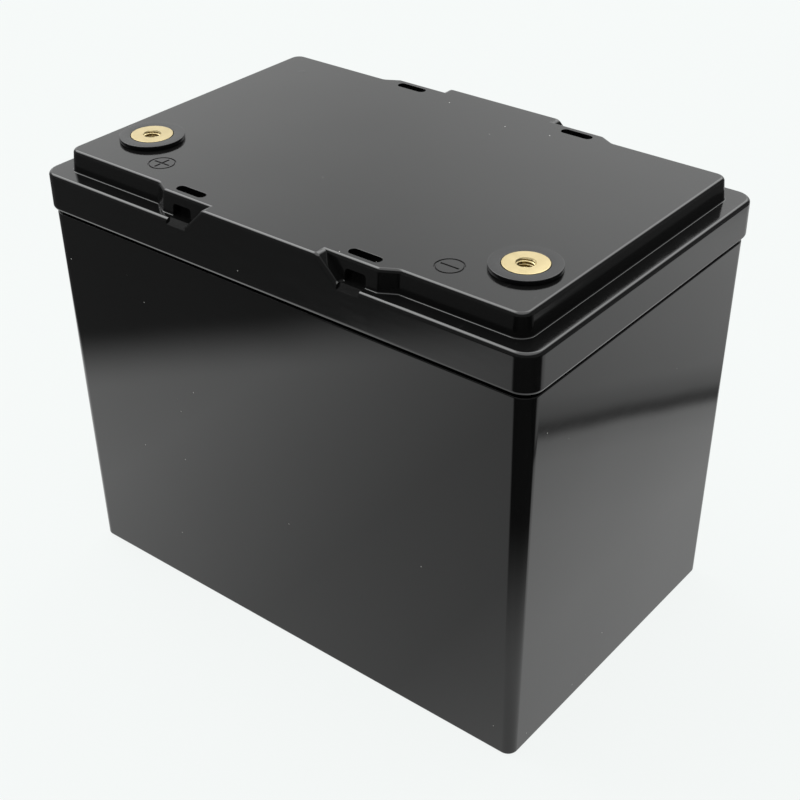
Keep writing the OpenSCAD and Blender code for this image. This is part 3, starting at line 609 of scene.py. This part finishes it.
def brushed_metal(name, tint, rough, scale=(1, 60, 60)):
    """Rolled sheet with fine lines along one way, and faint stains."""
    s = Shader(name, Metallic=1.0, Roughness=rough)
    lines = s.noise(45, 4, 0.7, vector=s.place(scale=scale))
    stains = s.noise(35, 3, 0.6)
    color = s.mix(s.times(s.math("ADD", lines, stains), 0.5), scaled(tint, 0.76), scaled(tint, 1.14))
    return s.finish(color=color, roughness=s.span(lines, rough * 0.75, rough * 1.5),
                    normal=s.bump(lines, 0.00001))


def glass_sheet(name):
    """Glass-fibre epoxy sheet with its plain weave showing through."""
    s = Shader(name, Roughness=0.5)
    weave = s.times(*[s.wave(330, axis) for axis in "XYZ"])
    resin = s.mix(s.noise(24, 3), rgb(0.44, 0.40, 0.17), rgb(0.52, 0.48, 0.22))
    color = s.mix(weave, resin, rgb(0.66, 0.62, 0.36))
    return s.finish(color=color, roughness=s.span(weave, 0.42, 0.6), normal=s.bump(weave, 0.00003))


def moulded(name, tint, rough=0.45, grain=1200, depth=0.00001):
    """Small moulded or cast piece with a fine grain."""
    s = Shader(name, Roughness=rough)
    fine = s.noise(grain, 2, 0.6)
    tone = s.noise(40, 3)
    color = s.mix(s.times(s.math("ADD", fine, tone), 0.5), scaled(tint, 0.8), scaled(tint, 1.18))
    return s.finish(color=color, roughness=s.span(tone, rough * 0.8, rough * 1.25),
                    normal=s.bump(fine, depth))


def strap_plastic(name):
    """Green polyester strapping with its embossed diamonds."""
    s = Shader(name, Roughness=0.35)
    v = s.place()
    x, y, z = s.axis("X", v), s.axis("Y", v), s.axis("Z", v)
    run = s.math("ADD", x, y)
    diamonds = s.times(*[s.math("SINE", s.times(s.math(way, run, z), 2600)) for way in ("ADD", "SUBTRACT")])
    tone = s.noise(70, 3)
    return s.finish(color=s.mix(tone, rgb(0.02, 0.10, 0.05), rgb(0.04, 0.16, 0.08)),
                    roughness=s.span(tone, 0.28, 0.45), normal=s.bump(diamonds, 0.00012))


def board_green(name):
    """Solder mask over copper: straight tracks, pads and pour edges show as lighter green."""
    s = Shader(name, Roughness=0.3, Coat_Weight=0.3)
    blocks = s.cells(150, random=0.9, distance="CHEBYCHEV").outputs["Distance"]
    across = s.math("ADD", s.axis("X"), s.times(blocks, 0.01))
    tracks = s.math("GREATER_THAN", s.math("SINE", s.times(across, 2400)), 0.55)
    pads = s.math("LESS_THAN", s.cells(300).outputs["Distance"], 0.12)
    base = s.mix(s.noise(60, 3), rgb(0.006, 0.07, 0.03), rgb(0.012, 0.10, 0.045))
    color = s.mix(tracks, base, rgb(0.025, 0.17, 0.075))
    color = s.mix(s.times(pads, 0.7), color, rgb(0.5, 0.48, 0.4))
    return s.finish(color=color, roughness=s.span(s.noise(200, 2), 0.22, 0.4),
                    normal=s.bump(s.math("ADD", tracks, pads), 0.00004))


def wire_skin(name, tint, rough=0.4):
    """Extruded insulation: slight length lines, soft sheen and handling dirt."""
    s = Shader(name, Roughness=rough)
    dirt = s.noise(180, 4, 0.6)
    fine = s.noise(1600, 2)
    return s.finish(color=s.mix(dirt, scaled(tint, 0.72), scaled(tint, 1.15)),
                    roughness=s.span(dirt, rough * 0.8, rough * 1.3), normal=s.bump(fine, 0.000012))


# ---------- the box ----------

def make_case(material):
    """Open-topped box in one skin: drafted walls, shoulder, upright rim and the bay inside."""
    r = LID_R - OVERHANG
    gap = SKIRT_WALL + RIM_GAP
    outer = rectangle(LID_LEN - 2 * OVERHANG, LID_WID - 2 * OVERHANG, r)
    rim = rectangle(LID_LEN - 2 * gap, LID_WID - 2 * gap, r - 1)
    bay = rectangle(LID_LEN - 2 * (gap + RIM_WALL), LID_WID - 2 * (gap + RIM_WALL), BAY_R)
    loops = level_loops(outer, [(DRAFT + FOOT_R * (1 - math.sin(t)), FOOT_R * (1 - math.cos(t)))
                                for t in quarter_turns(6)])
    loops += level_loops(outer, [(dx, SHOULDER_Z - SHOULDER_R + dz) for dx, dz in quarter(SHOULDER_R, 4)])
    loops += level_loops(rim, [(-0.3, SHOULDER_Z), (0, SHOULDER_Z + 0.3), (0, RIM_Z - 0.4), (0.4, RIM_Z)])
    loops += level_loops(bay, [(-0.4, RIM_Z), (0, RIM_Z - 0.4), (0, FLOOR_T + 1), (0.3, FLOOR_T + 0.3),
                               (1, FLOOR_T)])
    return settle(skin("case_shell", loops), PACK, material, "case_plastic", "case")


def plateau_corners():
    """Outline of the raised top where it meets the ledge, stepped out to the flush stretches."""
    quarter_run = ((TOP_HX, TOP_HY, 6), (JOG[1], TOP_HY, 3), (JOG[0], TOP_HS, 3))
    back = quarter_run[::-1]
    return (quarter_run + tuple((-x, y, r) for x, y, r in back)
            + tuple((-x, -y, r) for x, y, r in quarter_run) + tuple((x, -y, r) for x, y, r in back))


def upright_loops(corners, insets):
    """Loops of an outline drawn in X and Z, one for each (inset, y)."""
    return [[Vector((p.x, y, p.y)) for p in rounded_outline(corners, inset)] for inset, y in insets]


def skirted_block(round_off):
    return skin("lid_shell", level_loops(
        rectangle(LID_LEN, LID_WID, LID_R),
        [(inset, SKIRT_Z + up) for inset, up in SKIRT_LIP]
        + [(dx, LEDGE_Z - EDGE_R + dz) for dx, dz in round_off], 12))


def raised_top(round_off):
    fillet = [(-FILLET + FILLET * math.sin(t), LEDGE_Z + FILLET * (1 - math.cos(t)))
              for t in quarter_turns(6)]
    return skin("raised", level_loops(
        plateau_corners(), [(-FILLET, LEDGE_Z - 2)] + fillet
        + [(TOP_DRAFT + dx, TOP_Z - EDGE_R + dz) for dx, dz in round_off]))


def flush_stretch(round_off):
    """Middle of the raised top, which runs out to the front and back faces with sloping ends."""
    root = FLUSH_FOOT + 1.5
    half = ((root, LEDGE_Z - 8, 0), (root, LEDGE_Z - 0.02, 0), (FLUSH_FOOT, LEDGE_Z - 0.02, 2.4),
            (FLUSH_HALF, TOP_Z, 4))
    side_on = half + tuple((-x, z, r) for x, z, r in half[::-1])
    ends = [(dx, LID_WID / 2 - EDGE_R + dz) for dx, dz in round_off]
    return skin("flush", upright_loops(side_on, [(inset, -y) for inset, y in ends[::-1]] + ends))


def lid_hollows():
    """Space inside the skirt, then the one inside the raised top."""
    yield skin("hollow", level_loops(
        rectangle(LID_LEN - 2 * SKIRT_WALL, LID_WID - 2 * SKIRT_WALL, LID_R - SKIRT_WALL),
        [(0, SKIRT_Z - 2), (0, LEDGE_Z - LID_WALL)]))
    yield skin("inside", level_loops(
        plateau_corners(),
        [(LID_WALL - FOOT_R, SKIRT_Z - 1), (LID_WALL, LEDGE_Z), (LID_WALL + TOP_DRAFT, TOP_UNDER)]))


def slot_boss(x, y):
    """Solid plastic round a slot, inside the raised top; x and y are the signs of its quarter."""
    low = LEDGE_Z - BOSS_DROP
    depth = TOP_HS - SLOT_Y + SLOT_WID
    boss = skin("boss", level_loops(rectangle(SLOT_LEN + BOSS_MARGIN, depth, 0.5),
                                    [(0, low), (0, low + RAISE - 0.5)], 2))
    return placed(boss, x * SLOT_X, y * ((SLOT_Y + TOP_HS) / 2 - BOSS_SHIFT))


def slot_openings(x, y):
    """The slot in the top, the window in the wall below it and the sloped relief in the ledge."""
    lip = [(-dx, TOP_Z - SLOT_LIP + dz) for dx, dz in quarter(SLOT_LIP, 4)]
    slot = skin("slot", level_loops(capsule(SLOT_LEN, SLOT_WID),
                                    [(0, LEDGE_Z)] + lip + [(-SLOT_LIP, TOP_Z + 1)], 10))
    yield placed(slot, x * SLOT_X, y * SLOT_Y)
    wall_y = TOP_HS - TOP_DRAFT
    arch = ((WINDOW_HALF, 0, 0), (WINDOW_HALF, WINDOW_H, 1.5), (-WINDOW_HALF, WINDOW_H, 1.5),
            (-WINDOW_HALF, 0, 0))
    window = skin("window", upright_loops(arch, [(0, SLOT_Y - wall_y), (0, wall_y - SLOT_Y)]))
    yield placed(window, x * SLOT_X, y * wall_y, LEDGE_Z)
    half = RELIEF_SIDE / 2
    relief = skin("relief", level_loops(rectangle(RELIEF_LEN, RELIEF_SIDE, 0.4), [(0, -half), (0, half)], 4))
    yield placed(relief, x * (SLOT_X - RELIEF_OFFSET), y * LID_WID / 2, LEDGE_Z,
                 Matrix.Rotation(math.radians(45), 4, "X"))


def terminal_hole(x):
    r = SPIGOT_R + 0.2
    return placed(lathe("hole", [(r, TOP_UNDER - 1), (r, TOP_Z + 1)]), x, TERM_Y)


def sunk_mark(side, corners):
    """Sign of the given corners in a ring, both grooves in the raised top."""
    half, bottom, above = MARK_LINE / 2, TOP_Z - MARK_DEPTH, TOP_Z + 0.05
    groove = [(MARK_R - half, above), (MARK_R - 0.12, bottom), (MARK_R + 0.12, bottom),
              (MARK_R + half, above)]
    yield placed(lathe("ring", groove, steps=72, closed=True), side * MARK_X, MARK_Y)
    yield placed(skin("sign", level_loops(corners, [(0.28, bottom), (0, above)], 3)),
                 side * MARK_X, MARK_Y)


def make_lid(material):
    """Lid built up step by step: skirted block, raised top, flush stretches, then openings."""
    round_off = quarter(EDGE_R, 9)
    block = skirted_block(round_off)
    quarters = [(x, y) for x in (-1, 1) for y in (-1, 1)]
    added = [raised_top(round_off), flush_stretch(round_off)]
    hollows = list(lid_hollows())
    bosses = [slot_boss(x, y) for x, y in quarters]
    cuts = [cut for x, y in quarters for cut in slot_openings(x, y)]
    cuts += [terminal_hole(x) for x in (-TERM_X, TERM_X)]
    a, w = MARK_ARM / 2, MARK_LINE * 0.6
    plus = [(x * c - y * d, x * d + y * c, 0.2) for c, d in ((1, 0), (0, 1), (-1, 0), (0, -1))
            for x, y in ((a, -w), (a, w), (w, w))]
    minus = rectangle(MARK_ARM, 2 * w, 0.2)
    cuts += list(sunk_mark(-1, plus)) + list(sunk_mark(1, minus))
    steps = [(operation, piece) for operation, pieces in (
        ("UNION", added), ("DIFFERENCE", hollows), ("UNION", bosses), ("DIFFERENCE", cuts))
        for piece in pieces]
    return settle(combined(block, *steps), LID, material, "lid_plastic", "lid")


def make_gate_mark(material):
    """Low disc left by the moulding gate, behind the left terminal."""
    profile = [(GATE_R, TOP_Z - 0.3), (GATE_R, TOP_Z + 0.02), (GATE_R - 0.2, TOP_Z + 0.09),
               (GATE_R - 0.8, TOP_Z + 0.1), (GATE_R - 1, TOP_Z + 0.04)]
    disc = lathe("gate_mark", profile, steps=40)
    settle(placed(disc, GATE_X, GATE_Y), LID, material, "lid_plastic")


# ---------- terminals ----------

def make_collar(name, x, material):
    """Insulating ring round the terminal's flange, with a spigot down through the lid."""
    pocket = TERM_Z - FLANGE_T - O_RING_GAP
    top = TOP_Z + 2
    profile = [(FACE_R + 0.15, pocket), (FACE_R + 0.15, top - 0.25), (FACE_R + 0.4, top),
               (COLLAR_R - 0.32, top), (COLLAR_R - 0.12, top - 0.07), (COLLAR_R, top - 0.28),
               (COLLAR_R, TOP_Z + 0.45), (COLLAR_R - 0.25, TOP_Z + 0.1), (COLLAR_R - 0.3, TOP_Z),
               (SPIGOT_R, TOP_Z), (SPIGOT_R, TOP_UNDER + 0.4), (SPIGOT_R - 0.4, TOP_UNDER),
               (SHANK_R + 0.6, TOP_UNDER), (SHANK_R + 0.3, TOP_UNDER + 0.3), (SHANK_R + 0.3, pocket)]
    ring = placed(lathe(name + "_ring", profile, closed=True), x, TERM_Y)
    settle(ring, LID, material, "collar_plastic", name, angle=50)


def thread_radius(turn, down):
    """Radius of the M8 thread at a turn round the hole, a distance below the face."""
    phase = (down / THREAD_PITCH + turn / (2 * math.pi)) % 1
    slope = min(max((abs(2 * phase - 1) - 0.16) / 0.68, 0), 1)
    cone = MAJOR_R - down * 0.9
    return max(CORE_R + (MAJOR_R - CORE_R) * slope, cone)


def make_terminal(name, x, material):
    """Brass post: faced flange, threaded blind hole in real turns, and a plain shank."""
    def ring(radius, z):
        return [Vector((radius(t) * math.cos(t), radius(t) * math.sin(t), z)) for t in full_turns(72)]

    bottom = TERM_Z - THREAD_DEPTH
    loops = [ring(lambda t: r, z) for r, z in ((TIP_R, bottom - 1.2), (CORE_R, bottom))]
    for k in range(THREAD_RINGS, -1, -1):
        down = THREAD_DEPTH * k / THREAD_RINGS
        fade = min((THREAD_DEPTH - down) / 0.8, 1)
        loops.append(ring(lambda t: CORE_R + (thread_radius(t, down) - CORE_R) * fade, TERM_Z - down))
    loops += [ring(lambda t: r, z) for r, z in (
        (MAJOR_R + 0.12, TERM_Z), (FACE_R - 0.35, TERM_Z), (FACE_R - 0.1, TERM_Z - 0.08),
        (FACE_R, TERM_Z - 0.3), (FACE_R, TERM_Z - FLANGE_T), (SHANK_R, TERM_Z - FLANGE_T),
        (SHANK_R, SHANK_END + 0.6), (SHANK_R - 0.6, SHANK_END), (TIP_R, SHANK_END))]
    post = skin(name + "_post", loops)
    settle(post, LID, material, "brass", name, angle=28, ride=False)
    post.location = (x * MM, TERM_Y * MM, 0)
    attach(post, LID)


# ---------- leads and wires ----------

def smooth_route(route, steps):
    """Points along a smooth curve through every point of the route."""
    r = [Vector(p) for p in route]
    r = [2 * r[0] - r[1]] + r + [2 * r[-1] - r[-2]]
    points = []
    for i in range(1, len(r) - 2):
        p0, p1, p2, p3 = r[i - 1:i + 3]
        for k in range(steps):
            t = k / steps
            points.append(0.5 * (2 * p1 + (p2 - p0) * t + (2 * p0 - 5 * p1 + 4 * p2 - p3) * t * t
                                 + (3 * p1 - p0 - 3 * p2 + p3) * t * t * t))
    return points + [r[-2]]


def tube(name, route, radius, steps=LEAD_STEPS, sides=LEAD_SIDES):
    """Round tube along a smooth curve, its rings carried along without twist."""
    p = smooth_route(route, steps)
    up = Vector((0.1, 0.2, 1))
    loops = []
    for i, centre in enumerate(p):
        ahead = (p[min(i + 1, len(p) - 1)] - p[max(i - 1, 0)]).normalized()
        up = (up - ahead * up.dot(ahead)).normalized()
        across = ahead.cross(up)
        loops.append([centre + radius * (math.cos(t) * up + math.sin(t) * across)
                      for t in full_turns(sides)])
    return skin(name, loops)


def blended_lead(name, node, route, material, slot):
    """Lead between the pack and the lid: it leans from one to the other along its own length."""
    lead = tube(name, route, LEAD_R)
    settle(lead, PACK, material, slot, node, ride=False)
    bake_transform(lead, PACK, LID, start=tuple(v * MM for v in route[0]), end=tuple(v * MM for v in route[-1]))
    path = smooth_route(route, LEAD_STEPS)
    run = [0.0]
    for a, b in zip(path, path[1:]):
        run.append(run[-1] + (b - a).length)
    weights = lead.data.attributes["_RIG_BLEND"]
    for i in range(len(path)):
        share = min(max((run[i] / run[-1] - STIFF_SHARE) / (1 - 2 * STIFF_SHARE), 0), 1)
        share = share * share * (3 - 2 * share)
        for k in range(LEAD_SIDES):
            weights.data[i * LEAD_SIDES + k].value = share


# ---------- the other CAD parts ----------

def refined(node, body, material, slot, width, choose=None):
    """A CAD part's own shape with its sharp edges rounded off by width millimetres."""
    bm = bmesh.new()
    bm.from_mesh(NODES[node].data)
    bmesh.ops.scale(bm, vec=(1 / MM,) * 3, verts=bm.verts)
    bmesh.ops.remove_doubles(bm, verts=bm.verts, dist=0.002)
    bmesh.ops.dissolve_limit(bm, angle_limit=math.radians(1), verts=bm.verts, edges=bm.edges)
    bmesh.ops.recalc_face_normals(bm, faces=bm.faces)
    piece = new_object(node + "_piece", bm)
    if width:
        m = piece.modifiers.new("edges", "BEVEL")
        m.width, m.segments, m.limit_method = width, 2, "ANGLE"
        m.angle_limit = math.radians(40)
        m.miter_outer = "MITER_ARC"
        combined(piece)
    settle(piece, body, material, slot, node)
    if choose is not None:
        for f in piece.data.polygons:
            f.material_index = choose(f.center / MM)


def transistor_part(c):
    """0 for the moulded body, 1 for the metal tab and legs."""
    front = TRANSISTOR_ROWS[0] if c.y < 0 else TRANSISTOR_ROWS[1]
    in_body = -TOUCH < c.y - front < TRANSISTOR_BODY + TOUCH and c.z > BOARD_TOP + TOUCH
    return 0 if in_body else 1


def board_part(c):
    """0 chips, 1 capacitor sleeves, 2 capacitor tops, 3 resistors."""
    if c.y > CAPACITOR_Y:
        return 2 if c.z > BOARD_TOP + CAPACITOR_H - TOUCH else 1
    return 3 if c.x > RESISTOR_X and c.z < BOARD_TOP + RESISTOR_H else 0


def make_sense_wires():
    """Six thin wires in one piece, each in its own colour."""
    materials = [wire_skin("wire_" + n, tint, 0.38) for n, tint in WIRE_COLOURS]
    whole = bmesh.new()
    for i, route in enumerate(SENSE_WIRES):
        one = tube("wire", route, WIRE_R, 6, 14)
        for f in one.data.polygons:
            f.material_index = i
        whole.from_mesh(one.data)
        bpy.data.objects.remove(one)
    wires = new_object("sense_wires_piece", whole)
    indices = [f.material_index for f in wires.data.polygons]
    settle(wires, PACK, materials, "wire_insulation", "sense_wires")
    for f, i in zip(wires.data.polygons, indices):
        f.material_index = i


# body, slot, rounding of the edges and nodes of the parts that keep the CAD's own shape
INSIDE_PARTS = (
    (PACK, "foam", 0.6, "floor_pad side_pads end_pads"),
    (PACK, "cell_film", 1.2, "cell_1 cell_2 cell_3 cell_4 cell_5 cell_6 cell_7 cell_8"),
    (PACK, "insulating_sheet", 0.12, "cell_sheets board_tray"),
    (PACK, "cell_aluminium", 0.15, "cell_posts cell_vents"),
    (PACK, "post_plastic", 0.2, "post_seals"),
    (PACK, "end_plate_aluminium", 0.3, "end_plate_left end_plate_right board_heatsink"),
    (PACK, "strap_plastic", 0.12, "strap_lower strap_upper"),
    (PACK, "busbar_copper", 0.25, "busbar_pos busbar_back_left busbar_front busbar_back_right busbar_neg"),
    (PACK, "zinc_steel", 0.18,
     "busbar_screws tray_screws board_screws lower_lug_screws busbar_washers strap_seals"),
    (PACK, "tinned_copper", 0.15, "sense_tags lower_lugs"),
    (LID, "tinned_copper", 0.15, "upper_lugs"),
    (LID, "zinc_steel", 0.15, "clamp_washers"),
    (LID, "brass", 0.3, "clamp_nuts lug_nuts"),
    (PACK, "brass", 0.15, "board_spacers"),
    (PACK, "board_green", 0.05, "protection_board"),
    (PACK, "chip_black", 0.08, "board_transistors"),
    (PACK, "chip_black", 0.1, "board_parts"),
    (PACK, "shunt_metal", 0.2, "board_shunts"),
    (PACK, "connector_plastic", 0.2, "sense_socket sense_plug"),
    (PACK, "bead_epoxy", 0.1, "thermistor"),
    (PACK, "sleeve_plastic", 0.2, "lug_sleeves"),
    (LID, "seal_rubber", 0.4, "lid_gasket"),
    (LID, "seal_rubber", 0, "terminal_o_rings"))

# nodes of more than one material: the looks, and which of them a face takes by its middle
MIXED_PARTS = {
    "board_transistors": (("chip_black", "tinned_copper"), transistor_part),
    "board_parts": (("chip_black", "capacitor_sleeve", "cell_aluminium", "resistor_body"), board_part)}

WIRE_COLOURS = (("red", (0.45, 0.02, 0.02)), ("white", (0.7, 0.7, 0.68)), ("yellow", (0.7, 0.45, 0.03)),
                ("blue", (0.02, 0.09, 0.4)), ("black", (0.02, 0.02, 0.02)), ("grey", (0.2, 0.2, 0.2)))


def inside_looks():
    """Materials of the inside, each under the name of the slot it goes with."""
    looks = {
        "zinc_steel": plated_steel("zinc_steel"),
        "tinned_copper": plated_steel("tinned_copper", (0.68, 0.67, 0.64), 0.24),
        "brass": brass_stock("brass_stock"),
        "seal_rubber": rubber("seal_rubber"),
        "foam": foam("foam"),
        "cell_film": cell_film("cell_film"),
        "insulating_sheet": glass_sheet("insulating_sheet"),
        "sleeve_plastic": wire_skin("sleeve_plastic", (0.03, 0.03, 0.032), 0.36),
        "strap_plastic": strap_plastic("strap_plastic"),
        "board_green": board_green("board_green")}
    for name, *settings in (
            ("cell_aluminium", (0.80, 0.81, 0.82), 0.3),
            ("end_plate_aluminium", (0.74, 0.75, 0.77), 0.36, (60, 1, 60)),
            ("busbar_copper", (0.80, 0.44, 0.28), 0.28, (1, 50, 50)),
            ("shunt_metal", (0.62, 0.46, 0.36), 0.34)):
        looks[name] = brushed_metal(name, *settings)
    for name, *settings in (
            ("post_plastic", (0.03, 0.03, 0.031)),
            ("chip_black", (0.022, 0.022, 0.024), 0.5, 2400, 0.00002),
            ("capacitor_sleeve", (0.03, 0.03, 0.05), 0.3),
            ("resistor_body", (0.24, 0.17, 0.11), 0.4),
            ("connector_plastic", (0.72, 0.70, 0.62), 0.42, 900, 0.000015),
            ("bead_epoxy", (0.05, 0.035, 0.028), 0.25)):
        looks[name] = moulded(name, *settings)
    return looks


def furnish_inside():
    looks = inside_looks()
    for body, slot, width, nodes in INSIDE_PARTS:
        for node in nodes.split():
            names, choose = MIXED_PARTS.get(node, ((slot,), None))
            refined(node, body, [looks[n] for n in names], slot, width, choose)


def make_leads():
    red = wire_skin("lead_red", (0.50, 0.02, 0.015))
    black = wire_skin("lead_black", (0.02, 0.02, 0.021))
    blended_lead("lead_pos_piece", "lead_pos", LEAD_POS, red, "lead_red")
    blended_lead("lead_neg_piece", "lead_neg", LEAD_NEG, black, "lead_black")
    settle(tube("lead_board_piece", LEAD_BOARD, LEAD_R), PACK, black, "lead_black", "lead_board")
    make_sense_wires()


# ---------- the scene ----------

make_camera()
make_floor()
make_painted_floor_reflection()
make_sky()
bpy.context.scene.view_settings.view_transform = "Standard"

lid_black = black_abs("lid_plastic", 0.004, 0.1)
make_case(black_abs("case_plastic", 0.004, 0.05))
make_lid(lid_black)
make_gate_mark(lid_black)
collar_black = satin_black("collar_plastic")
face_brass = turned_brass("brass")
for end, side in (("pos", -1), ("neg", 1)):
    make_collar("collar_" + end, side * TERM_X, collar_black)
    make_terminal("terminal_" + end, side * TERM_X, face_brass)
furnish_inside()
make_leads()
